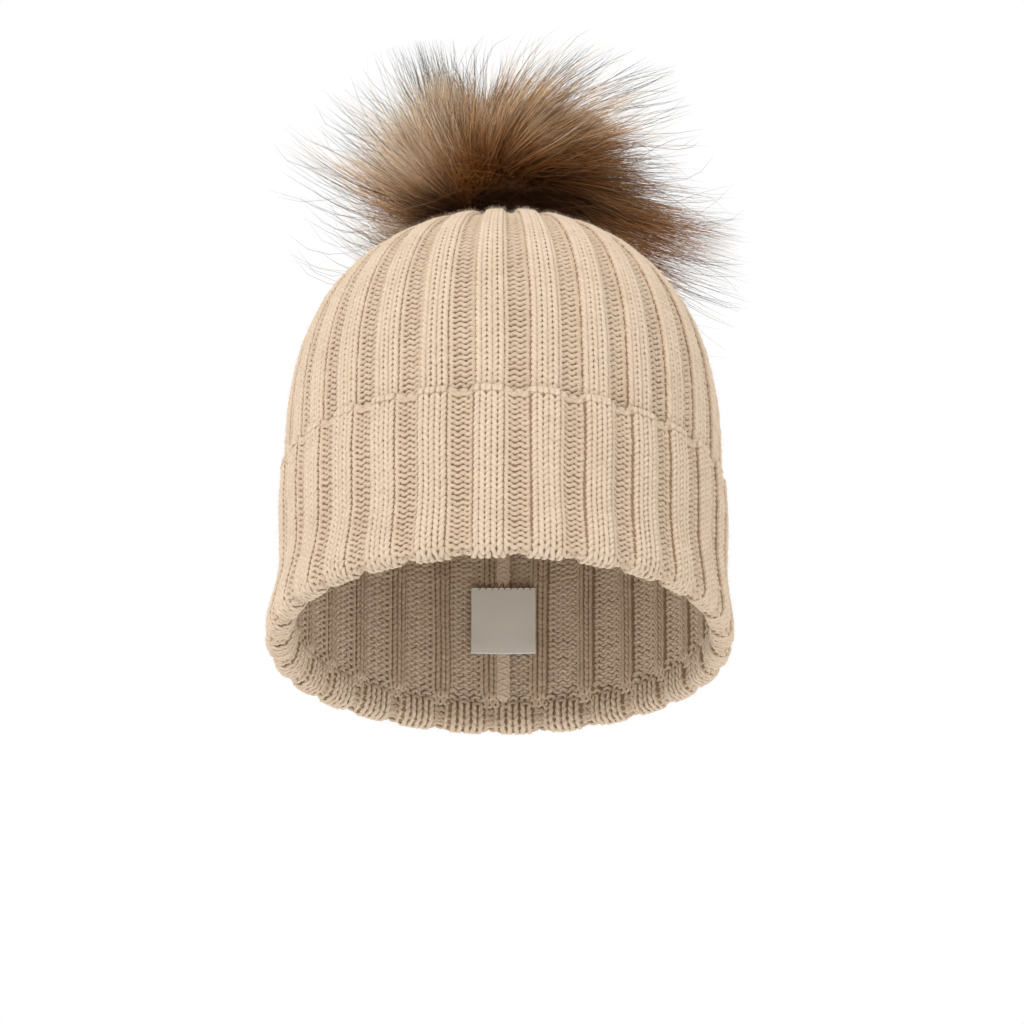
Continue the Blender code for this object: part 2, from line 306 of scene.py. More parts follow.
def close_up(w, s):
    """Sideways shift, in wales, that spreads the ribs over the channels under the roll."""
    p = np.mod(w + PHASE, 5.0)
    to = np.where(p < 3.0, 1.36 * p - 0.54, 3.54 + 0.46 * (p - 3.0))
    k = step(s, S_FOLD - 18.0, S_FOLD - 9.0) * (1 - step(s, S_FOLD - 1.0, S_FOLD + 2.2))
    return k * (to - p)


_w1 = rng.normal(size=(6, 4))


def wander(w, s):
    """Slow sideways drift of the ribs, in wales."""
    u = w / WALES * 2 * math.pi
    out = 0.0
    for i, (k, f) in enumerate(((3, 0.021), (5, 0.034), (9, 0.027), (14, 0.05), (21, 0.041), (28, 0.07))):
        out = out + (0.075 / (1 + 0.35 * i)) * np.sin(k * u + f * s + 6.0 * _w1[i, 0]) * np.cos(f * 0.8 * s + _w1[i, 1] * 3)
    return out


_w2 = rng.normal(size=(5, 3))


def swell(w, s):
    """Slow dents and bulges of the whole cloth, in millimetres."""
    u = w / WALES * 2 * math.pi
    out = 0.0
    for i, (k, f) in enumerate(((2, 0.03), (3, 0.045), (5, 0.02), (7, 0.06), (11, 0.05))):
        out = out + (0.30 / (1 + 0.5 * i)) * np.sin(k * u + 5 * _w2[i, 0]) * np.sin(f * s + 4 * _w2[i, 1])
    fade = step(s, 12.0, 60.0) * (1 - 0.75 * step(s, S_FOLD - 80.0, S_FOLD - 50.0))
    return out * fade


def place(w, s, d):
    """Point of the cloth: w wales round from the front, s along the path, d out of its face."""
    s_in = np.clip(s, 0.0, S_END)
    a, z = np.interp(s_in, P_S, P_A), np.interp(s_in, P_S, P_Z)
    nr, nz = np.interp(s_in, P_S, P_NR), np.interp(s_in, P_S, P_NZ)
    over = s - s_in
    z = z + np.where(s > S_END, over, 0.0)
    a = a + np.where(s < 0.0, over, 0.0)
    f = phi_of(w / WALES)
    sn, cs = np.sin(f), np.cos(f)
    # the roll bulges on the wearer's right, and sags a little at the sides and back
    rim = np.exp(-((np.maximum(z - 4.0, 0.0)) / 15.0) ** 2)
    a = a + 2.9 * rim * np.maximum(-sn, 0.0) ** 1.5 * step(s, S_FOLD - 12.0, S_FOLD + 3.0)
    z = z - 2.9 * rim * smooth((0.45 - cs) / 0.9)
    b = a * oval_at(a)
    ex, ey = sn / a, -cs / b
    m = np.hypot(ex, ey)
    x = a * sn + d * nr * ex / m
    y = -b * cs + d * nr * ey / m
    rise = step(s, S_FOLD, S_END) * SKEW * (-sn)
    return np.stack([x, y, z + d * nz + rise], axis=-1)


def face_turn(s):
    """+1 where the cloth's face looks out of the hat, -1 after knit and purl have swapped."""
    return 1.0 - 2.0 * step(s, S_SWAP - 1.2, S_SWAP + 1.2)


def course(s0, samples, noise, tight=1.0, thick=1.0, tall=1.0):
    """Centreline, cross-section size and frame of one round of yarn."""
    n = WALES * samples
    j = np.arange(n) / samples
    t = 2 * math.pi * j
    a_here = np.interp(np.clip(s0, 0, S_END), P_S, P_A)
    girth = 2 * math.pi * a_here * math.sqrt((1 + float(oval_at(a_here)) ** 2) / 2)
    width = girth / WALES
    squeeze = min(1.0, width / 3.3)
    yarn = 0.87 * max(0.36, squeeze) * thick
    deep = 0.60 * max(0.45, squeeze)
    # per-stitch unevenness, joined smoothly from one stitch to the next
    k = np.floor(j).astype(int)
    f = smooth(j - k)

    def uneven(row):
        return row[k % WALES] * (1 - f) + row[(k + 1) % WALES] * f

    turn = face_turn(s0)
    sign = pattern(j) * turn
    lean = 0.205 + 0.03 * sign * turn + 0.02 * uneven(noise[0])
    high = COURSE * (0.80 + 0.075 * sign * turn) * tall * (1 + 0.035 * uneven(noise[1]))
    v = -high * np.cos(t) + 0.10 * uneven(noise[2])
    w = j + lean * np.sin(2 * t)
    side = 1.0 if s0 < S_FOLD else -1.0
    flip = 1.0 - 2.0 * step(s0, S_SWAP - 2.5, S_SWAP + 2.5)
    ribs = relief(w, s0)
    gather = 1.1 * (1 - step(a_here, 14.0, 52.0))
    height = 0.80 * np.where(ribs > 0, 1 + 0.2 * gather, 1 + gather) * ribs * flip
    d = height + sign * (-deep * np.cos(2 * t)) + 0.09 * uneven(noise[3])
    d = d + swell(j, s0) * side
    # the cast-on edge dips at the channels
    edge = math.exp(-(S_END - s0) / 4.5)
    v = v - 1.1 * edge * (1 - rib_top(w))
    deepest = 1 - rib_top(w)
    w = w + wander(j, s0) + close_up(j, s0)
    seam = np.exp(-(((j - WALES / 2) / 0.8) ** 2)) * 0.55
    d = d - seam * (1.0 if s0 < S_SWAP else -1.0) * (1.0 - step(s0, S_FOLD - 8.0, S_FOLD))
    centre = place(w, s0 + v, d)
    base = place(w, s0 + v, d * 0 - 3.0)
    tangent = np.roll(centre, -1, axis=0) - np.roll(centre, 1, axis=0)
    tangent /= np.linalg.norm(tangent, axis=1)[:, None]
    normal = centre - base
    normal /= np.linalg.norm(normal, axis=1)[:, None]
    across = np.cross(tangent, normal)
    across /= np.linalg.norm(across, axis=1)[:, None]
    up = np.cross(across, tangent)
    # a knit leg is plump, the part that dives through the next loop is pinched
    plump = 1.0 + 0.07 * np.cos(2 * t + math.pi) + 0.05 * uneven(noise[4])
    wide = yarn * 1.12 * plump * tight
    flat = yarn * 0.86 * plump * tight
    # painted shade: darker in the rib channels and where each loop turns inward, plus a little random tone per stitch
    facing = sign * turn * (-np.cos(2 * t))
    shade = 0.20 - 0.16 * facing + 0.34 * deepest + 0.07 * uneven(noise[5])
    return centre, across, up, wide, flat, shade


def knit(name, rows, samples, sides, material, tight=1.0):
    """One piece of knitting: a list of (s, thickness, tallness) courses, each a closed ring of yarn."""
    n = WALES * samples
    angles = np.arange(sides) * 2 * math.pi / sides
    verts, quads, uvs, shades = [], [], [], []
    blocks = 4
    per = n // blocks
    for r, (s0, thick, tall) in enumerate(rows):
        noise = rng.normal(size=(6, WALES))
        centre, across, up, wide, flat, shade = course(s0, samples, noise, tight, thick, tall)
        ring = centre[:, None, :] \
            + across[:, None, :] * (np.cos(angles)[None, :, None] * wide[:, None, None]) \
            + up[:, None, :] * (np.sin(angles)[None, :, None] * flat[:, None, None])
        start = r * n * sides
        verts.append(ring.reshape(-1, 3))
        i = np.arange(n)
        i2 = (i + 1) % n
        k = np.arange(sides)
        k2 = (k + 1) % sides
        q = np.stack([
            start + i[:, None] * sides + k[None, :],
            start + i2[:, None] * sides + k[None, :],
            start + i2[:, None] * sides + k2[None, :],
            start + i[:, None] * sides + k2[None, :]], axis=-1)
        quads.append(q.reshape(-1, 4))
        block = i // per
        u0 = (i - block * per) / per
        u1 = u0 + 1.0 / per
        band = (r * blocks + block) / (len(rows) * blocks)
        step_v = 1.0 / (len(rows) * blocks)
        v0 = band[:, None] + step_v * (0.04 + 0.92 * k[None, :] / sides)
        v1 = band[:, None] + step_v * (0.04 + 0.92 * (k[None, :] + 1) / sides)
        u0 = np.repeat(u0[:, None], sides, 1)
        u1 = np.repeat(u1[:, None], sides, 1)
        uv = np.stack([np.stack([u0, v0], -1), np.stack([u1, v0], -1),
                       np.stack([u1, v1], -1), np.stack([u0, v1], -1)], axis=2)
        uvs.append(uv.reshape(-1, 2))
        shades.append(np.repeat(shade, sides))
    return mesh_object(name, np.concatenate(verts), quads=np.concatenate(quads),
                       uv=np.concatenate(uvs), values={"shade": np.concatenate(shades)},
                       materials=[material])


def cloth_between(name, s0, s1, material, offset=-0.05):
    """The closed web of yarn behind the loops, so that light doesn't pass between them:
    a thin skin, front and back, following the ribs, coloured darker as painted shade between the loops."""
    ns = max(3, int((s1 - s0) / 2.4))
    nw = WALES * 2
    s = np.linspace(s0, s1, ns)
    w = np.arange(nw) / 2.0
    rows = []
    for half in (+0.16, -0.16):
        for sv in s:
            flip = 1.0 - 2.0 * step(sv, S_SWAP - 2.5, S_SWAP + 2.5)
            a_here = float(np.interp(np.clip(sv, 0, S_END), P_S, P_A))
            gather = 1.1 * (1 - step(a_here, 14.0, 52.0))
            ribs = relief(w, sv)
            d = 0.80 * np.where(ribs > 0, 1 + 0.2 * gather, 1 + gather) * ribs * flip + offset + half
            d = d + swell(w, sv) * (1.0 if sv < S_FOLD else -1.0)
            d = d - np.exp(-(((w - WALES / 2) / 0.8) ** 2)) * 0.55 * (1.0 if sv < S_SWAP else -1.0) \
                * (1.0 - step(sv, S_FOLD - 8.0, S_FOLD))
            rows.append(place(w + wander(w, sv) + close_up(w, sv), np.full(nw, sv), d))
    grid = np.array(rows).reshape(2, ns, nw, 3)
    order = np.concatenate([grid[0], grid[1][::-1]], axis=0)
    m = order.shape[0]
    i = np.arange(m)
    i2 = (i + 1) % m
    k = np.arange(nw)
    k2 = (k + 1) % nw
    q = np.stack([i[:, None] * nw + k[None, :], i[:, None] * nw + k2[None, :],
                  i2[:, None] * nw + k2[None, :], i2[:, None] * nw + k[None, :]], -1).reshape(-1, 4)
    u0 = np.broadcast_to((k / nw)[None, :], (m, nw))
    u1 = u0 + 1.0 / nw
    v0 = np.broadcast_to((i / m)[:, None], (m, nw))
    v1 = v0 + 1.0 / m
    uv = np.stack([np.stack([u0, v0], -1), np.stack([u1, v0], -1),
                   np.stack([u1, v1], -1), np.stack([u0, v1], -1)], axis=2).reshape(-1, 2)
    # a fixed shade of 0.5 darkens the whole web: painted shade
    return mesh_object(name, order.reshape(-1, 3), quads=q, uv=uv,
                       values={"shade": np.full(m * nw, 0.5)}, materials=[material])


def all_rows():
    s = 1.2
    rows = []
    while s < S_END - 0.9:
        rows.append(s)
        s += COURSE
    return rows


ROWS = all_rows()
S_HIDDEN_A = float(np.interp(-62.0, -P_Z[:bottom], P_S[:bottom]))     # behind the cuff
FINE = 11
COARSE = 8
SIDES = 5

groups = []
crown_rows = [s for s in ROWS if s < S_HIDDEN_A]
hidden_rows = [s for s in ROWS if S_HIDDEN_A <= s < S_FOLD - 9.0]
cuff_rows = [s for s in ROWS if s >= S_FOLD - 9.0]


def split(rows, count):
    return [list(x) for x in np.array_split(np.array(rows), count)]


crown_pieces, cuff_pieces = [], []
for i, rows in enumerate(split(crown_rows, 6)):
    crown_pieces.append(knit(f"crown_knit_{i}", [(s, 1.0, 1.0) for s in rows], FINE, SIDES, wool))
for i, rows in enumerate(split(hidden_rows, 2)):
    crown_pieces.append(knit(f"crown_knit_inner_{i}", [(s, 0.97, 1.0) for s in rows], COARSE, SIDES, wool))
for i, rows in enumerate(split(cuff_rows, 3)):
    cuff_pieces.append(knit(f"cuff_knit_{i}", [(s, 1.0, 1.0) for s in rows], FINE, SIDES, wool))
# the cast-on edge: one doubled, tighter round of yarn
cuff_pieces.append(knit("cuff_cast_on", [(S_END - 0.2, 1.12, 0.42), (S_END + 0.7, 1.0, 0.40)], FINE, SIDES, wool))
crown_pieces.append(cloth_between("crown_web", 2.0, S_FOLD - 1.0, wool_painted_shade))
cuff_pieces.append(cloth_between("cuff_web", S_FOLD + 0.2, S_END - 1.6, wool_painted_shade))


def fuzz(name, count, s_low, s_high, gen):
    """Loose fibre ends standing off the yarn, as thin blades."""
    w = gen.uniform(0.0, WALES, count)
    s = gen.uniform(s_low, s_high, count)
    flip = 1.0 - 2.0 * step(s, S_SWAP - 2.5, S_SWAP + 2.5)
    lift = gen.uniform(0.25, 1.0, count) ** 1.6 * 1.9
    dw = gen.normal(size=(2, count)) * 0.30
    ds = gen.normal(size=(2, count)) * 0.75
    d0 = flip * (0.80 * relief(w, s) + 0.75) + swell(w, s) * np.where(s < S_FOLD, 1.0, -1.0)
    wp = w + wander(w, s) + close_up(w, s)
    p0 = place(wp, s, d0)
    p1 = place(wp + dw[0], s + ds[0], d0 + flip * (0.25 + 0.62 * lift))
    p2 = place(wp + dw[0] + dw[1], s + ds[0] + ds[1], d0 + flip * (0.25 + lift))
    side = np.cross(p2 - p0, gen.normal(size=p0.shape))
    side = side / np.maximum(np.linalg.norm(side, axis=1, keepdims=True), 1e-9)
    thick = gen.uniform(0.018, 0.034, size=(count, 1))
    verts = np.stack([p0 - side * thick, p0 + side * thick, p1 + side * thick * 0.8,
                      p1 - side * thick * 0.8, p2], axis=1).reshape(-1, 3)
    i = np.arange(count)[:, None] * 5
    quads = i + np.array([[0, 1, 2, 3]])
    tris = i + np.array([[3, 2, 4]])
    grid = int(math.ceil(math.sqrt(count)))
    cell = np.stack([np.arange(count) % grid, np.arange(count) // grid], -1)[:, None, :] / grid
    uv_q = cell + np.array([[0.1, 0.1], [0.9, 0.1], [0.8, 0.5], [0.2, 0.5]])[None] / grid
    uv_t = cell + np.array([[0.2, 0.5], [0.8, 0.5], [0.5, 0.9]])[None] / grid
    uv = np.concatenate([uv_q.reshape(-1, 2), uv_t.reshape(-1, 2)])
    return mesh_object(name, verts, quads=quads, tris=tris, uv=uv, materials=[wool_fibre])


crown_pieces.append(fuzz("crown_fuzz", 38000, 6.0, S_HIDDEN_A, rng))
cuff_pieces.append(fuzz("cuff_fuzz", 24000, S_FOLD - 6.0, S_END - 0.5, rng))
for piece in crown_pieces:
    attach(piece, "hat")
for piece in cuff_pieces:
    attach(piece, "hat")
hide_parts("knit_crown")
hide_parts("knit_cuff")

# --------------------------------------------------------------------------
# the fur: strands of underfur and longer guard hair on the pelt ball
# --------------------------------------------------------------------------
PELT_C = to_world([0.0, 0.0, 207.0]) * 1000.0        # world millimetres
PELT_R = 22.0
AXIS = np.array([0.0, ST, CT])
ROOM_LOW = np.array([-105.0, -10.0, 60.0])
ROOM_HIGH = np.array([105.0, 154.0, 261.0])
REACH = np.array([(-180, 72), (-165, 68), (-150, 62), (-140, 56), (-120, 52), (-100, 52), (-80, 58), (-60, 72), (-45, 84),
                  (-30, 93), (-22, 95), (-12, 88), (0, 74), (8, 66), (16, 61), (25, 60), (32, 62), (40, 55), (52, 53),
                  (66, 51), (80, 46), (92, 43), (105, 43), (120, 47), (144, 57), (156, 60), (166, 66), (173, 70), (180, 72)], float)


def unit(v):
    return v / np.maximum(np.linalg.norm(v, axis=-1, keepdims=True), 1e-9)


def reach(t):
    """How far the fur reaches from the ball's centre along unit directions t (world)."""
    angle = np.degrees(np.arctan2(t[..., 2], t[..., 0]))
    flat = np.interp(angle, REACH[:, 0], REACH[:, 1])
    k = np.hypot(t[..., 0], t[..., 2])
    deep = np.where(t[..., 1] < 0, 56.0, 64.0)
    return 1.0 / np.sqrt((k / flat) ** 2 + (t[..., 1] / deep) ** 2)


def in_crown(h, gap=0.0):
    """Below 1 for hat-frame points that are inside the knitted crown."""
    rho = np.hypot(h[..., 0], h[..., 1] / 1.20)
    zz = np.maximum(h[..., 2] - 74.0, 0.0)
    return (rho / (91.6 + gap)) ** DOME_N + (zz / (106.6 + gap)) ** DOME_N


def off_crown(p, gap=0.0):
    """Move world-millimetre points that are inside the knitted crown out to its face."""
    h = to_hat(p * 0.001)
    f = in_crown(h, gap)
    k = np.where(f < 1.0, np.maximum(f, 1e-3) ** (-1.0 / DOME_N), 1.0)
    h[..., 0] *= k
    h[..., 1] *= k
    h[..., 2] = np.where(h[..., 2] > 74.0, 74.0 + (h[..., 2] - 74.0) * k, h[..., 2])
    return to_world(h) * 1000.0


def sphere(n, jitter=0.0, gen=None):
    i = np.arange(n) + 0.5
    z = 1 - 2 * i / n
    a = i * math.pi * (1 + math.sqrt(5))
    r = np.sqrt(1 - z * z)
    p = np.stack([r * np.cos(a), r * np.sin(a), z], -1)
    if jitter:
        p = unit(p + gen.normal(size=p.shape) * jitter)
    return p


WHORL = np.array([-0.45, -0.88, 0.06]) / 0.9902      # where the coat parts


def heading(n):
    """Where the tip of a hair points whose root faces n: away from the parting, up on its
    left and over to the right elsewhere."""
    c = (n @ WHORL)[..., None]
    away = n - c * WHORL
    left = smooth((0.12 - n[..., 0]) / 0.70)
    top = smooth((n[..., 2] + 0.1) / 0.8)
    low = smooth((-0.05 - n[..., 2]) / 0.6)
    flow = away * (0.50 + 1.25 * smooth((c - 0.15) / 0.6)) * smooth((c + 0.7) / 1.0) * (1 - 0.45 * left)[..., None]
    near = smooth((0.75 - n[..., 1]) / 0.9)
    flow[..., 0] += (0.30 * (1 - left) + 0.28 * top * (1 - left) - 0.10 * left) * (0.4 + 0.6 * near)
    flow[..., 1] += 0.04
    flow[..., 2] += left * (1.34 - 0.34 * low) * near - 0.06 * (1 - left)
    return unit(n + flow)


frng = np.random.default_rng(4182)
LARGE = sphere(66, 0.14, frng)
SMALL = sphere(520, 0.06, frng)
SMALL_L = np.argmax(SMALL @ LARGE.T, axis=1)
LARGE_T = unit(heading(LARGE) + frng.normal(size=LARGE.shape) * 0.19)
SMALL_T = unit(heading(SMALL) + frng.normal(size=SMALL.shape) * 0.15)
LARGE_F = frng.normal(size=len(LARGE))
SMALL_F = frng.normal(size=len(SMALL))
LARGE_C = frng.normal(size=(len(LARGE), 3))
SMALL_C = frng.normal(size=(len(SMALL), 3))
LARGE_D = frng.normal(size=len(LARGE))
SMALL_D = frng.normal(size=len(SMALL))

DARK = np.array(lin(38, 18, 7))
BROWN = np.array(lin(112, 62, 22))
GOLD = np.array(lin(160, 104, 50))
TAN = np.array(lin(216, 178, 132))
CREAM = np.array(lin(246, 230, 208))
BLACK = np.array(lin(20, 17, 17))


def mixc(a, b, f):
    return a * (1 - f)[..., None] + b * f[..., None]


def hairs(count, segments, length, spread, clump, frizz, gen, guard, front=False, curl=0.0):
    """Centre lines (count, segments+1, 3) in world millimetres with a colour at each point."""
    n = unit(gen.normal(size=(count * (9 if front else 2), 3)))
    keep = (n @ AXIS) > -0.88
    if front:
        keep &= (n @ unit(np.array([-0.25, -0.95, 0.05]))) > 0.50
    n = n[keep][:count]
    count = len(n)
    small = np.argmax(n @ SMALL.T, axis=1)
    large = SMALL_L[small]
    own = unit(heading(n) + gen.normal(size=n.shape) * spread)
    t = unit((1 - clump) * own + clump * (0.50 * SMALL_T[small] + 0.50 * LARGE_T[large]))
    f = length * (1 + 0.18 * LARGE_F[large] + 0.13 * SMALL_F[small] + gen.normal(size=count) * (0.10 if guard else 0.07))
    # each lock is longest in its middle, so the coat ends in points with gaps between
    lock = np.arccos(np.clip(np.sum(n * LARGE[large], axis=1), -1, 1))
    tuft = np.arccos(np.clip(np.sum(n * SMALL[small], axis=1), -1, 1))
    ends = 1.10 - 0.40 * smooth((lock - 0.05) / 0.26) - 0.14 * smooth((tuft - 0.02) / 0.10)
    f = f * (1 + (ends - 1) * (0.35 if guard else 1.0))
    f = np.clip(f, 0.36, 1.45 if guard else 1.15)
    far = reach(t) * f
    if not guard:
        # the underfur is a little shorter on the left and high on the right
        side_on = smooth((-t[:, 0] - 0.35) / 0.4) * smooth((t[:, 2] + 0.35) / 0.3) * smooth((0.85 - t[:, 2]) / 0.3)
        high_right = smooth((t[:, 0] - 0.25) / 0.3) * smooth((t[:, 2] - 0.25) / 0.25)
        far = far * (1 - 0.07 * side_on - 0.24 * high_right)
    room = np.where(t > 0, ROOM_HIGH - PELT_C, PELT_C - ROOM_LOW) / np.maximum(np.abs(t), 1e-6)
    far = np.minimum(far, room.min(axis=1) * gen.uniform(0.93, 1.0, count))
    # hair that would run into the crown is worn shorter
    for _ in range(7):
        buried = in_crown(to_hat((PELT_C + far[:, None] * t) * 0.001), 1.0) < 1.0
        far = np.where(buried & (far > PELT_R + 6.0), far * 0.92, far)
    tip = PELT_C + far[:, None] * t
    root = PELT_C + (PELT_R - 0.3) * n
    span = np.linalg.norm(tip - root, axis=1)[:, None]
    # tips bend: upwards on the left, over to the right elsewhere
    left = smooth((0.10 - t[:, 0]) / 0.7)
    right = smooth((t[:, 0] - 0.0) / 0.6)
    low = smooth((0.15 - t[:, 2]) / 0.6)
    high = smooth((t[:, 2] - 0.2) / 0.5)
    bend = 0.35 * (t - (t @ WHORL)[:, None] * WHORL)
    bend[:, 2] += 1.35 * left * (0.5 + 1.1 * low) - 0.12 * right * low + 0.10
    bend[:, 0] += -0.04 * left + 0.30 * right + 0.45 * high * (1 - left)
    bend += 0.26 * LARGE_C[large] + 0.20 * SMALL_C[small] + curl * gen.normal(size=t.shape)
    m = unit(t + bend)
    p0 = root
    p1 = root + unit(0.75 * n + 0.35 * t) * span * 0.34
    p2 = tip - m * span * (0.38 + 0.16 * left * low)[:, None]
    u = np.linspace(0, 1, segments + 1)[None, :, None]
    c = ((1 - u) ** 3 * p0[:, None] + 3 * (1 - u) ** 2 * u * p1[:, None]
         + 3 * (1 - u) * u * u * p2[:, None] + u ** 3 * tip[:, None])
    # crimp
    ph = gen.uniform(0, 2 * math.pi, size=(count, 1, 3))
    k = gen.uniform(5.0, 11.0, size=(count, 1, 3))
    c = c + frizz * np.sin(ph + k * u) * (u ** 1.3)
    c = np.clip(off_crown(c, 0.2), ROOM_LOW, ROOM_HIGH + 0.5)
    # colours
    uu = u[:, :, 0] + gen.normal(size=(count, 1)) * 0.05
    front = tip - PELT_C
    x, z = front[:, 0], front[:, 2]
    upper = smooth((z + 6.0) / 22.0)
    pale = np.clip(smooth((-10.0 - x) / 30.0) * (0.26 + 0.52 * np.maximum(upper, 0.5 * smooth((-36.0 - x) / 12.0))) + 0.62 * smooth((z - 18.0) / 20.0) * (1 - 0.25 * smooth(x / 40.0))
                   + 0.45 * smooth((x - 14.0) / 22.0) * smooth((z - 4.0) / 16.0) + 0.18 * SMALL_D[small] + 0.10 * LARGE_D[large], 0, 1)
    band = np.exp(-((z + 4.5 + 0.06 * (x - 40)) / 7.5) ** 2) * smooth((x - 4.0) / 16.0) * smooth((80.0 - x) / 20.0)
    base = smooth((0.0 - z) / 11.0) * smooth((44.0 - np.abs(x + 4.0)) / 18.0)
    base = np.maximum(base, 0.85 * smooth((2.0 - z) / 14.0) * smooth((x - 0.0) / 10.0) * smooth((56.0 - x) / 24.0))
    dark = np.clip(np.maximum(band * 0.92, base * 0.95) + 0.05 * SMALL_D[small], 0, 1)
    tipc = mixc(mixc(np.broadcast_to(GOLD, (count, 3)), TAN, np.clip(pale * 1.6 + 0.15, 0, 1)), CREAM,
                np.clip(pale * 1.5 - 0.55, 0, 1))
    midc = mixc(np.broadcast_to(BROWN, (count, 3)), GOLD, np.clip(0.14 + 0.90 * pale + 0.15 * SMALL_D[small], 0, 1))
    midc = mixc(midc, TAN, np.clip(pale * 1.3 - 0.6, 0, 1))
    rootc = mixc(np.broadcast_to(DARK, (count, 3)), BROWN, np.clip(0.25 + 0.9 * pale, 0, 1))
    col = mixc(np.repeat(rootc[:, None], segments + 1, 1), np.repeat(midc[:, None], segments + 1, 1), smooth((uu - 0.12) / 0.38))
    col = mixc(col, np.repeat(tipc[:, None], segments + 1, 1), smooth((uu - 0.52) / 0.34))
    if guard:
        often = np.where(LARGE_D[large] + 0.7 * SMALL_D[small] > 0.25, 0.94, 0.16)
        often = np.maximum(often, 0.75 * smooth((-40.0 - x) / 14.0) * smooth((14.0 - z) / 12.0))
        black = smooth((uu - 0.62) / 0.16) * (gen.uniform(size=(count, 1)) < often[:, None])
        col = mixc(col, np.broadcast_to(BLACK, col.shape), black)
    else:
        # underfur of the right-hand side is tipped darker
        tipped = smooth((uu - 0.80) / 0.18) * (0.75 * smooth((x - 36.0) / 24.0) * (gen.uniform(size=count) < 0.55))[:, None]
        col = mixc(col, np.broadcast_to(BLACK * 1.6, col.shape), tipped)
    col = mixc(col, np.broadcast_to(DARK * 0.8, col.shape), np.broadcast_to(dark[:, None], uu.shape) * (1 - 0.25 * uu.clip(0, 1)))
    # the coat is darkest low down at the front, next to the knit
    q = c - PELT_C
    near_knit = smooth((0.0 - q[..., 2]) / 10.0) * smooth((48.0 - np.abs(q[..., 0] + 2.0)) / 14.0) \
        * smooth((20.0 - q[..., 1]) / 20.0)
    col = mixc(col, np.broadcast_to(DARK * 1.1, col.shape),
               near_knit * np.clip(0.70 + 0.22 * gen.normal(size=(count, 1)), 0, 0.95))
    # and it is a deep brown round the parting
    parting = np.exp(-((q[..., 0] + 2.0) / 26.0) ** 2 - ((q[..., 2] - 3.0) / 15.0) ** 2) * smooth((14.0 - q[..., 1]) / 20.0)
    col = col * (1 - parting[..., None] * np.array([0.36, 0.46, 0.54]))
    col = col * (1 + 0.12 * gen.normal(size=(count, 1, 1)))
    return c, np.clip(col, 0.0, 1.0)


def tubes(name, centre, colour, width, material, gen, sides=3):
    """Tapered hairs from their centre lines; each has its own cell of the texture square."""
    count, m, _ = centre.shape
    tangent = np.gradient(centre, axis=1)
    tangent = unit(tangent)
    ref = unit(gen.normal(size=(count, 1, 3)))
    across = unit(np.cross(tangent, ref))
    up = np.cross(across, tangent)
    u = np.linspace(0, 1, m)
    taper = np.interp(u, [0, 0.15, 0.6, 0.88, 1.0], [0.75, 1.0, 0.9, 0.6, 0.12])
    w = width[:, None] * taper[None, :]
    a = np.arange(sides) * 2 * math.pi / sides
    ring = centre[:, :, None, :] + w[:, :, None, None] * (
        across[:, :, None, :] * np.cos(a)[None, None, :, None] + up[:, :, None, :] * np.sin(a)[None, None, :, None])
    verts = ring.reshape(-1, 3) * 0.001
    tint = np.repeat(colour[:, :, None, :], sides, axis=2).reshape(-1, 3)
    i = np.arange(count)[:, None, None] * (m * sides)
    j = np.arange(m - 1)[None, :, None] * sides
    k = np.arange(sides)[None, None, :]
    k2 = (k + 1) % sides
    q = np.stack([i + j + k, i + j + k2, i + j + sides + k2, i + j + sides + k], -1).reshape(-1, 4)
    grid = int(math.ceil(math.sqrt(count)))
    cu = (np.arange(count) % grid)[:, None, None] / grid
    cv = (np.arange(count) // grid)[:, None, None] / grid
    du = (0.1 + 0.8 * np.arange(sides + 1) / sides) / grid
    dv = (0.06 + 0.88 * np.arange(m) / (m - 1)) / grid
    shape = (count, m - 1, sides)
    ul = np.broadcast_to(cu + du[None, None, :-1], shape)
    ur = np.broadcast_to(cu + du[None, None, 1:], shape)
    vl = np.broadcast_to(cv + dv[None, :-1, None], shape)
    vh = np.broadcast_to(cv + dv[None, 1:, None], shape)
    uv = np.stack([np.stack([ul, vl], -1), np.stack([ur, vl], -1),
                   np.stack([ur, vh], -1), np.stack([ul, vh], -1)], axis=3).reshape(-1, 2)
    return mesh_object(name, verts, quads=q, uv=uv, colours=tint, materials=[material], world=True)


def fur_material(name):
    n = Nodes(name)
    tint = n.new("ShaderNodeAttribute", _attribute_name="tint")
    coord = n.new("ShaderNodeTexCoord")
    noise = n.new("ShaderNodeTexNoise", Scale=260.0, Detail=3.0, Roughness=0.6)
    n.link(coord.outputs["Object"], noise.inputs["Vector"])
    scale = n.new("ShaderNodeMapRange")
    scale.inputs["To Min"].default_value = 0.80
    scale.inputs["To Max"].default_value = 1.22
    n.link(noise.outputs["Fac"], scale.inputs["Value"])
    mix = n.new("ShaderNodeVectorMath", _operation="SCALE")
    n.link(tint.outputs["Color"], mix.inputs[0])
    n.link(scale.outputs["Result"], mix.inputs["Scale"])
    n.link(mix.outputs["Vector"], n.shader.inputs["Base Color"])
    n.set(Roughness=0.6, Specular__IOR__Level=0.12)
    return n.mat


fur_mat = fur_material("fur")
UNDER = 31000
GUARD = 3800
UNDER_SEG, GUARD_SEG = 5, 8
c, col = hairs(UNDER, UNDER_SEG, 0.88, 0.26, 0.70, 0.80, frng, False, curl=0.20)
under_parts = []
for i, part in enumerate(np.array_split(np.arange(len(c)), 6)):
    width = frng.uniform(0.058, 0.100, size=len(part)) * 1.0
    under_parts.append(tubes(f"underfur_{i}", c[part], col[part], width, fur_mat, frng))
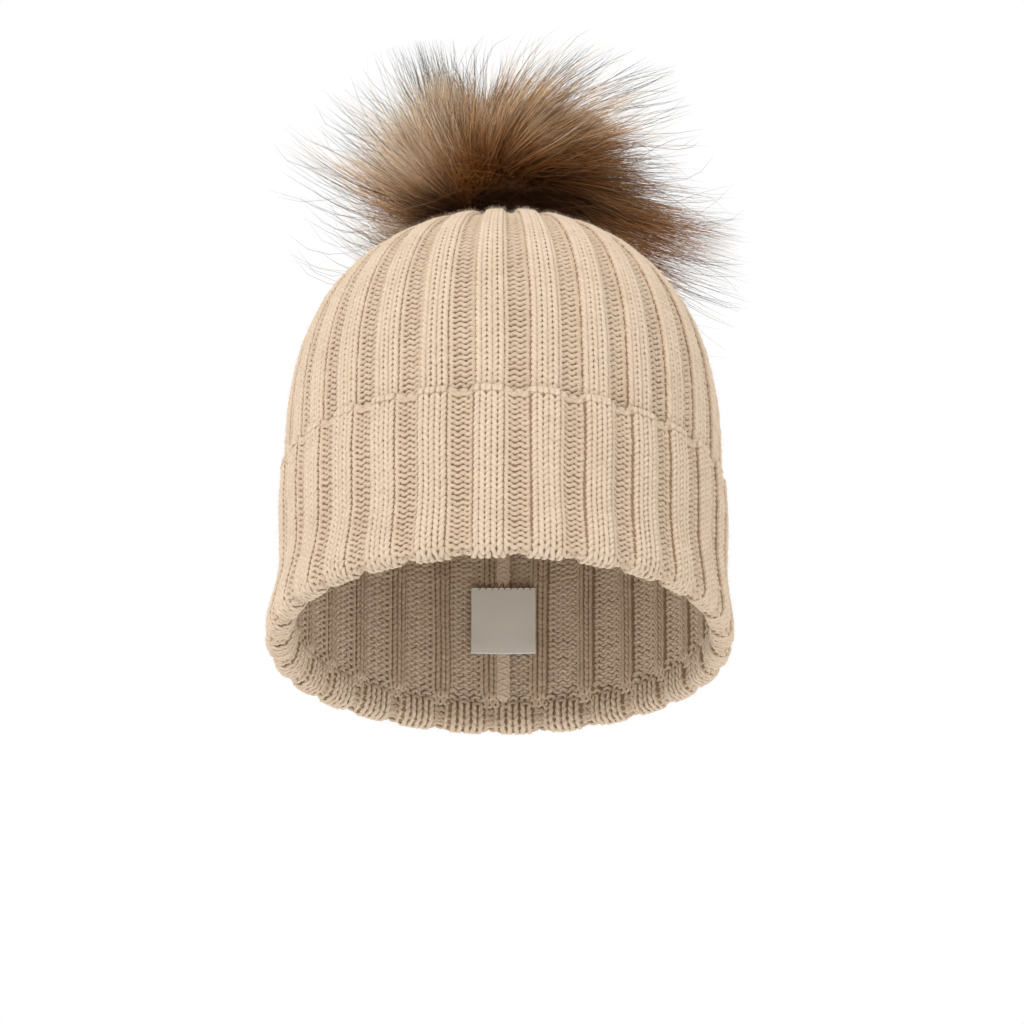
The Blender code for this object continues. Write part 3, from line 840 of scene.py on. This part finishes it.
# short fluff where the coat parts, at the front
FLUFF = 10000
c, col = hairs(FLUFF, UNDER_SEG, 0.72, 0.95, 0.20, 2.1, frng, False, front=True, curl=0.7)
# painted highlight: a golden patch over the fluff near the parting
painted_highlight = np.exp(-(((c[:, -1, 0] - PELT_C[0] + 17.0) / 9.0) ** 2 + ((c[:, -1, 2] - PELT_C[2] - 4.0) / 7.0) ** 2))
col = col * (1 - 0.8 * painted_highlight[:, None, None]) + np.array(lin(176, 112, 46)) * 0.8 * painted_highlight[:, None, None]
width = frng.uniform(0.050, 0.085, size=len(c)) * 1.0
order = frng.permutation(len(c))
for i, part in enumerate(np.array_split(order, 2)):
    under_parts.append(tubes(f"underfur_fluff_{i}", c[part], col[part], width[part], fur_mat, frng))
c, col = hairs(GUARD, GUARD_SEG, 1.07, 0.22, 0.66, 0.5, frng, True, curl=0.10)
c2, col2 = hairs(330, GUARD_SEG, 1.34, 0.38, 0.1, 1.2, frng, True, curl=0.45)
c, col = np.concatenate([c, c2]), np.concatenate([col, col2])
guard_parts = []
for i, part in enumerate(np.array_split(np.arange(len(c)), 2)):
    width = frng.uniform(0.080, 0.135, size=len(part)) * 1.0
    guard_parts.append(tubes(f"guard_hair_{i}", c[part], col[part], width, fur_mat, frng))
for piece in under_parts + guard_parts:
    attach(piece, "pom")
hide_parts("pom_underfur")
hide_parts("pom_guard_hair")

# --------------------------------------------------------------------------
# the small pieces: seam, label, snap, and the pom-pom's inside
# --------------------------------------------------------------------------
prng = np.random.default_rng(9377)


def frames(path, closed):
    """Tangent and two normals along a centre line, turned as little as possible."""
    path = np.asarray(path, float)
    if closed:
        tangent = unit(np.roll(path, -1, 0) - np.roll(path, 1, 0))
    else:
        tangent = unit(np.gradient(path, axis=0))
    first = np.cross(tangent[0], [0.31, 0.17, 0.93])
    normals = [first / np.linalg.norm(first)]
    for t in tangent[1:]:
        n = normals[-1] - t * (normals[-1] @ t)
        normals.append(n / np.linalg.norm(n))
    normal = np.array(normals)
    if closed:
        # share the twist left over at the join
        last = normal[-1] - tangent[0] * (normal[-1] @ tangent[0])
        last = last / np.linalg.norm(last)
        other = np.cross(tangent[0], normal[0])
        turn = math.atan2(last @ other, last @ normal[0])
        k = -turn * np.arange(len(path)) / len(path)
        side = np.cross(tangent, normal)
        normal = normal * np.cos(k)[:, None] + side * np.sin(k)[:, None]
    return tangent, normal, np.cross(tangent, normal)


def rope(name, path, radius, plies, turns, material, closed=False, sides=10, rough=0.04, world=False):
    """A cord of twisted plies along a centre line, in hat millimetres."""
    path = np.asarray(path, float)
    tangent, normal, binormal = frames(path, closed)
    n = len(path)
    u = np.arange(n) / (n if closed else n - 1)
    a = 2 * math.pi * np.arange(sides) / sides
    verts, quads, tris = [], [], []
    for p in range(plies):
        turn = 2 * math.pi * (turns * u + p / plies)
        offset = radius * (0.46 if plies == 2 else 0.52) if plies > 1 else 0.0
        own = radius - offset
        centre = path + offset * (normal * np.cos(turn)[:, None] + binormal * np.sin(turn)[:, None])
        start = sum(len(v) for v in verts)
        wob = 1 + rough * np.sin(2 * math.pi * (np.round(turns * 3) * u[:, None]) + a[None, :] * 3 + p)
        ring = centre[:, None] + own * wob[..., None] * (
            normal[:, None] * np.cos(a)[None, :, None] + binormal[:, None] * np.sin(a)[None, :, None])
        verts.append(ring.reshape(-1, 3))
        for i in range(n if closed else n - 1):
            i2 = (i + 1) % n
            for k in range(sides):
                k2 = (k + 1) % sides
                quads.append((start + i * sides + k, start + i * sides + k2,
                              start + i2 * sides + k2, start + i2 * sides + k))
        if not closed:
            for k in range(1, sides - 1):
                tris.append((start, start + k + 1, start + k))
                e = start + (n - 1) * sides
                tris.append((e, e + k, e + k + 1))
    return mesh_object(name, np.concatenate(verts), quads=quads, tris=tris or None,
                       materials=[material], world=world)


def strip(name, rings, material, closed=False):
    """A solid from equal loops of points; open ends are capped."""
    rings = np.asarray(rings, float)
    n, m = rings.shape[:2]
    quads, tris = [], []
    for i in range(n if closed else n - 1):
        i2 = (i + 1) % n
        for k in range(m):
            k2 = (k + 1) % m
            quads.append((i * m + k, i * m + k2, i2 * m + k2, i2 * m + k))
    if not closed:
        for k in range(1, m - 1):
            tris.append((0, k + 1, k))
            tris.append(((n - 1) * m, (n - 1) * m + k, (n - 1) * m + k + 1))
    return mesh_object(name, rings.reshape(-1, 3), quads=quads, tris=tris or None, materials=[material])


def turned(name, outline, count, material, wobble=None):
    """A solid of revolution about the hat's axis from a closed outline of (r, z)."""
    outline = np.asarray(outline, float)
    t = 2 * math.pi * np.arange(count) / count
    rings = np.stack([outline[None, :, 0] * np.cos(t)[:, None], outline[None, :, 0] * np.sin(t)[:, None],
                      np.broadcast_to(outline[None, :, 1], (count, len(outline)))], -1)
    if wobble is not None:
        rings = wobble(rings, t)
    return strip(name, rings, material, closed=True)


def cloth_like(name, light, dark, scale, rough=0.9, bump=0.0002, strength=0.5, sheen=0.25, detail=4.0):
    n = Nodes(name)
    coord = n.new("ShaderNodeTexCoord")
    noise = n.new("ShaderNodeTexNoise", Scale=scale, Detail=detail, Roughness=0.65)
    n.link(coord.outputs["Object"], noise.inputs["Vector"])
    tone = ramp(n, [(0.30, dark), (0.70, light)])
    n.link(noise.outputs["Fac"], tone.inputs["Fac"])
    n.link(tone.outputs["Color"], n.shader.inputs["Base Color"])
    fine = n.new("ShaderNodeTexNoise", Scale=scale * 3.1, Detail=4.0, Roughness=0.7)
    n.link(coord.outputs["Object"], fine.inputs["Vector"])
    b = n.new("ShaderNodeBump", Strength=strength, Distance=bump)
    n.link(fine.outputs["Fac"], b.inputs["Height"])
    n.link(b.outputs["Normal"], n.shader.inputs["Normal"])
    n.set(Roughness=rough, Sheen__Weight=sheen, Specular__IOR__Level=0.25)
    return n.mat


def metal(name, light, dark, low, high):
    n = Nodes(name)
    coord = n.new("ShaderNodeTexCoord")
    noise = n.new("ShaderNodeTexNoise", Scale=420.0, Detail=5.0, Roughness=0.6)
    n.link(coord.outputs["Object"], noise.inputs["Vector"])
    tone = ramp(n, [(0.35, dark), (0.65, light)])
    n.link(noise.outputs["Fac"], tone.inputs["Fac"])
    n.link(tone.outputs["Color"], n.shader.inputs["Base Color"])
    wear = n.new("ShaderNodeTexNoise", Scale=1600.0, Detail=3.0, Roughness=0.7)
    n.link(coord.outputs["Object"], wear.inputs["Vector"])
    span = n.new("ShaderNodeMapRange")
    span.inputs["To Min"].default_value = low
    span.inputs["To Max"].default_value = high
    n.link(wear.outputs["Fac"], span.inputs["Value"])
    n.link(span.outputs["Result"], n.shader.inputs["Roughness"])
    b = n.new("ShaderNodeBump", Strength=0.12, Distance=0.00005)
    n.link(wear.outputs["Fac"], b.inputs["Height"])
    n.link(b.outputs["Normal"], n.shader.inputs["Normal"])
    n.set(Metallic=1.0)
    return n.mat


def woven(name, light, dark, pitch):
    """A close woven ribbon: fine crossing ridges."""
    n = Nodes(name)
    coord = n.new("ShaderNodeTexCoord")
    parts = []
    for direction in ("X", "Z"):
        wave = n.new("ShaderNodeTexWave", Scale=0.314 / pitch, Distortion=0.4, Detail=2.0,
                     _bands_direction=direction)
        n.link(coord.outputs["Object"], wave.inputs["Vector"])
        parts.append(wave)
    both = n.new("ShaderNodeMath", _operation="ADD")
    n.link(parts[0].outputs["Fac"], both.inputs[0])
    n.link(parts[1].outputs["Fac"], both.inputs[1])
    half = n.new("ShaderNodeMath", _operation="MULTIPLY")
    n.link(both.outputs[0], half.inputs[0])
    half.inputs[1].default_value = 0.5
    tone = ramp(n, [(0.1, dark), (0.9, light)])
    n.link(half.outputs[0], tone.inputs["Fac"])
    n.link(tone.outputs["Color"], n.shader.inputs["Base Color"])
    b = n.new("ShaderNodeBump", Strength=0.35, Distance=0.0001)
    n.link(half.outputs[0], b.inputs["Height"])
    n.link(b.outputs["Normal"], n.shader.inputs["Normal"])
    n.set(Roughness=0.5, Sheen__Weight=0.2, Specular__IOR__Level=0.4)
    return n.mat


nickel = metal("nickel_plate", (0.66, 0.63, 0.58), (0.56, 0.53, 0.48), 0.20, 0.38)
steel = metal("spring_wire", (0.55, 0.55, 0.56), (0.44, 0.44, 0.45), 0.22, 0.40)
felt_mat = cloth_like("felt_pad", lin(214, 198, 176), lin(186, 168, 144), 420.0, bump=0.0004, strength=0.8)
hide_mat = cloth_like("pelt_hide", lin(206, 180, 148), lin(176, 146, 112), 160.0, rough=0.75, bump=0.0002)
fill_mat = cloth_like("fibre_fill", lin(240, 238, 232), lin(218, 214, 206), 240.0, bump=0.0006, strength=0.9)
thread_mat = cloth_like("sewing_thread", lin(146, 124, 98), lin(112, 90, 66), 1500.0, rough=0.6, bump=0.00008)
board_mat = cloth_like("leather_disc", lin(100, 80, 66), lin(74, 58, 48), 300.0, rough=0.55, bump=0.00012,
                       strength=0.3, sheen=0.0)
label_mat = woven("label_ribbon", lin(240, 236, 228), lin(214, 208, 198), 0.00042)

for node, mat in (("snap_cap", nickel), ("snap_stud", nickel), ("snap_socket", nickel), ("socket_cap", nickel),
                  ("socket_spring", steel), ("pom_base_disc", board_mat)):
    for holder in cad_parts[node].material_slots:
        holder.material = mat


def give(ob, body, node):
    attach(ob, body)
    if node:
        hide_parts(node)
    return ob


# the linked seam down the inside of the back: a rolled selvedge with the joining yarn over it
def dome_at(t, a, height):
    c, sn = math.cos(math.radians(t)), math.sin(math.radians(t))
    return a * c ** (2.0 / DOME_N), CROWN_Z + (height - CROWN_Z) * sn ** (2.0 / DOME_N)


knots = [(103.75, 9.0), (103.75, 34.0), (103.75, 60.0)]
for t in (3, 12, 23, 34, 45, 56, 66, 75):
    a, z = dome_at(t, CROWN_A - 3.3, CROWN_H - 3.3)
    knots.append((a * float(oval_at(a)) - 0.6 * math.cos(math.radians(t)) - 0.5,
                  z - 0.6 * math.sin(math.radians(t)) - 0.3))
knots = np.array(knots)
run = np.concatenate([[0], np.cumsum(np.linalg.norm(np.diff(knots, axis=0), axis=1))])
u = np.arange(0.0, run[-1], 0.30)
line = np.stack([np.zeros_like(u), np.interp(u, run, knots[:, 0]), np.interp(u, run, knots[:, 1])], -1)
for _ in range(30):
    line[1:-1] = 0.5 * line[1:-1] + 0.25 * (line[:-2] + line[2:])
along = unit(np.gradient(line, axis=0))
inward = np.stack([np.zeros_like(u), -along[:, 2], along[:, 1]], -1)
a = 2 * math.pi * np.arange(36) / 36
end = np.clip(np.minimum(u, run[-1] - u) / 2.5, 0.15, 1.0) ** 0.5
x = 2.9 * np.cos(a)[None, :] * end[:, None]
rise = 0.55 + 0.62 * np.sin(a)[None, :] * end[:, None]
chevron = np.cos(2 * math.pi * (u[:, None] / 2.42 + 0.30 * np.abs(x)))
front_face = np.clip(np.sin(a), 0, 1)[None, :]
rise = rise + front_face * (0.16 * chevron - 0.28 * np.exp(-(x / 0.45) ** 2))
x = x * (1 + 0.05 * np.cos(2 * math.pi * u / 2.42))[:, None]
seam_rings = line[:, None] + np.array([1.0, 0, 0]) * x[..., None] + inward[:, None] * rise[..., None]
give(strip("back_seam_roll", seam_rings, wool), "hat", "back_seam")
# the joining yarn crosses from edge to edge
v = np.arange(1.5, run[-1] - 1.5, 0.16)
cross = np.sin(2 * math.pi * v / 4.84)
yx = 2.35 * cross
yh = 1.12 + 0.10 * np.abs(cross)
ly = np.stack([np.interp(v, u, line[:, k]) for k in range(3)], -1)
iy = np.stack([np.interp(v, u, inward[:, k]) for k in range(3)], -1)
path = ly + np.array([1.0, 0, 0]) * yx[:, None] + iy * yh[:, None]
give(rope("back_seam_yarn", path, 0.40, 2, len(v) * 0.16 / 1.8, wool, sides=7), "hat", None)

# the care label: a ribbon folded once, with both ends sewn in above
LABEL_TOP, LABEL_LOW, LABEL_Y = 60.0, 30.0, 102.049
mid = LABEL_Y - 0.5
z_down = np.linspace(LABEL_TOP, LABEL_LOW + 0.45, 70)
turn = np.linspace(0, math.pi, 9)[1:-1]
back_z, back_y = z_down, np.full_like(z_down, mid + 0.25)
bend_z = LABEL_LOW + 0.45 - 0.25 * np.sin(turn)
bend_y = mid + 0.25 * np.cos(turn)
centre = np.concatenate([np.stack([back_y, back_z], -1), np.stack([bend_y, bend_z], -1),
                         np.stack([np.full_like(z_down, mid - 0.25), z_down[::-1]], -1)])
slope = unit(np.gradient(centre, axis=0))
out = np.stack([-slope[:, 1], slope[:, 0]], -1)
across = np.linspace(-13.9, 13.9, 57)
half = 0.15 + 0.03 * (np.abs(across) > 13.0)
low_part = smooth((52.0 - centre[:, 1]) / 20.0)
wave_y = low_part[:, None] * (0.10 * np.sin(across[None, :] * 0.33 + 0.6) - 0.85 * (across[None, :] / 14.0) ** 2
                              * smooth((46.0 - centre[:, 1:2]) / 14.0) - 0.25 * smooth((44.0 - centre[:, 1:2]) / 12.0))
label_rings = []
for sgn, order in ((1.0, slice(None)), (-1.0, slice(None, None, -1))):
    y = centre[:, None, 0] + sgn * half[None, :] * out[:, None, 0] + wave_y
    z = centre[:, None, 1] + sgn * half[None, :] * out[:, None, 1]
    label_rings.append(np.stack([np.broadcast_to(across, y.shape), y, z], -1)[:, order])
label = strip("care_label_ribbon", np.concatenate(label_rings, axis=1), label_mat)
give(label, "label", "care_label")

# whipped stitches over the label's upper edge
v = np.linspace(0, 1, 420)
coil = 2 * math.pi * 9 * v
path = np.stack([-12.2 + 24.4 * v + 0.5 * np.sin(coil), mid - 0.84 * np.cos(coil), 60.6 + 1.5 * np.sin(coil)], -1)
give(rope("label_whipping", path, 0.27, 2, 60, thread_mat, sides=7), "hat", "label_stitch")

# the yarn that draws the crown together
v = 2 * math.pi * np.arange(240) / 240
path = np.stack([6.1 * np.cos(v), 6.1 * np.sin(v), 177.1 + 0.08 * np.sin(5 * v)], -1)
give(rope("crown_draw_yarn", path, 0.86, 3, 11, wool, closed=True, sides=12), "hat", "crown_gather_yarn")


# felt pad under the crown's centre
def felted(rings, t):
    r = np.hypot(rings[..., 0], rings[..., 1])
    rough = 0.05 * np.sin(rings[..., 0] * 2.9 + 1.3 * np.sin(rings[..., 1] * 2.1)) * np.cos(rings[..., 1] * 3.3)
    rings[..., 2] += rough * (r > 2.6)
    rim = 0.10 * (np.sin(23 * t) + 0.6 * np.sin(41 * t + 1.0))[:, None] * smooth((r - 14.0) / 1.6)
    rings[..., 0] *= 1 + rim / np.maximum(r, 1.0)
    rings[..., 1] *= 1 + rim / np.maximum(r, 1.0)
    return rings


rr = np.linspace(2.5, 15.4, 34)
outline = [(r, 173.28) for r in rr] + [(15.85, 173.55), (15.95, 174.0), (15.8, 174.45)] + [(r, 174.72) for r in rr[::-1]]
give(turned("felt_pad", outline, 180, felt_mat, felted), "hat", "felt_backing")


# the pom-pom's hide: a pouch drawn up round an opening underneath
def pleated(rings, t):
    z = rings[..., 2]
    k = smooth((194.0 - z) / 8.0)
    fold = k * (0.42 * np.sin(26 * t)[:, None])
    r = np.hypot(rings[..., 0], rings[..., 1])
    for i in (0, 1):
        rings[..., i] *= 1 + fold / np.maximum(r, 4.0)
    rings[..., 2] += k * 0.18 * np.cos(26 * t)[:, None]
    return rings


low_out = math.asin(-math.sqrt(1 - (9.0 / 22.0) ** 2))
low_in = math.asin(-0.906)
outline = [(22.0 * math.cos(q) if q < math.pi / 2 - 1e-6 else 0.02, 207.0 + 22.0 * math.sin(q))
           for q in np.linspace(low_out, math.pi / 2, 44)]
outline += [(20.9 * math.cos(q) if q < math.pi / 2 - 1e-6 else 0.02, 207.0 + 20.9 * math.sin(q))
            for q in np.linspace(math.pi / 2, low_in, 44)]
give(turned("pelt_pouch", outline, 156, hide_mat, pleated), "pom", "pom_pelt")


# its filling
def lumpy(rings, t):
    c = np.array([0.0, 0.0, 207.0])
    p = rings - c
    bump = 0.20 * np.sin(p[..., 0] * 0.9 + 1.0) * np.sin(p[..., 1] * 0.8 + 2.0) * np.sin(p[..., 2] * 0.85) \
        + 0.10 * np.sin(p[..., 0] * 2.3) * np.sin(p[..., 1] * 2.6 + 1.0) * np.cos(p[..., 2] * 2.4)
    return c + p * (1 + (bump - 0.25) / np.maximum(np.linalg.norm(p, axis=-1), 6.0))[..., None]


fill_low = math.asin((188.5 - 207.0) / 20.5)
outline = [(0.02, 188.5), (3.0, 188.5)] + [
    (20.5 * math.cos(q) if q < math.pi / 2 - 1e-6 else 0.02, 207.0 + 20.5 * math.sin(q))
    for q in np.linspace(fill_low, math.pi / 2, 50)]
filling = give(turned("filling", outline, 120, fill_mat, lumpy), "pom", "pom_stuffing")

v = 2 * math.pi * np.arange(260) / 260
path = np.stack([8.15 * np.cos(v), 8.15 * np.sin(v), 187.45 + 0.06 * np.sin(26 * v)], -1)
give(rope("pelt_drawstring", path, 0.46, 2, 17, thread_mat, closed=True, sides=9), "pom", "pom_drawstring")

# --------------------------------------------------------------------------
# camera, light and floor
# --------------------------------------------------------------------------
scene = bpy.context.scene
MM_PER_PIXEL = 0.41
DISTANCE = 2.3
cam_data = bpy.data.cameras.new("camera")
cam_data.sensor_width = 36.0
cam_data.lens = 36.0 * DISTANCE / (1024 * MM_PER_PIXEL * 0.001)
cam_data.clip_start, cam_data.clip_end = 0.05, 20.0
cam = bpy.data.objects.new("camera", cam_data)
scene.collection.objects.link(cam)
aim = Vector(((512 - 503) * MM_PER_PIXEL * 0.001, 0.0, (645 - 512) * MM_PER_PIXEL * 0.001))
cam.location = aim + Vector((0.0, -DISTANCE, 0.0))
cam.rotation_euler = (math.radians(90.0), 0.0, 0.0)
scene.camera = cam

# a plain pale floor
FLOOR_Z = -0.32
verts, faces = [(0.0, 0.2, FLOOR_Z)], []
for k in range(64):
    t = 2 * math.pi * k / 64
    verts.append((1.7 * math.cos(t), 0.2 + 1.35 * math.sin(t), FLOOR_Z))
for k in range(64):
    faces.append((0, 1 + k, 1 + (k + 1) % 64))
floor_mesh = bpy.data.meshes.new("floor")
floor_mesh.from_pydata(verts, [], faces)
floor_mesh.polygons.foreach_set("use_smooth", [True] * len(faces))
floor = bpy.data.objects.new("floor", floor_mesh)
scene.collection.objects.link(floor)
fm = Nodes("floor")
fm.set(Roughness=0.9)
fm.shader.inputs["Base Color"].default_value = (0.92, 0.92, 0.92, 1.0)
floor_mesh.materials.append(fm.mat)

world = bpy.data.worlds.new("studio")
world.use_nodes = True
world.node_tree.nodes["Background"].inputs["Color"].default_value = (1.0, 1.0, 1.0, 1.0)
world.node_tree.nodes["Background"].inputs["Strength"].default_value = 1.0
scene.world = world


def area(name, place_at, look_at, size, power, colour=(1.0, 1.0, 1.0)):
    data = bpy.data.lights.new(name, "AREA")
    data.shape = "DISK"
    data.size = size
    data.energy = power
    data.color = colour
    ob = bpy.data.objects.new(name, data)
    scene.collection.objects.link(ob)
    ob.location = place_at
    ob.rotation_euler = (Vector(look_at) - Vector(place_at)).to_track_quat("-Z", "Y").to_euler()
    return ob


area("key", (-1.1, -1.5, 1.5), (0, 0, 0.08), 0.8, 18.0)
area("fill", (1.6, -1.2, 0.6), (0, 0, 0.08), 1.4, 2.5)
area("back", (0.6, 1.6, 1.7), (0, 0, 0.12), 1.0, 9.0)
scene.view_settings.view_transform = "Standard"
scene.view_settings.look = "None"
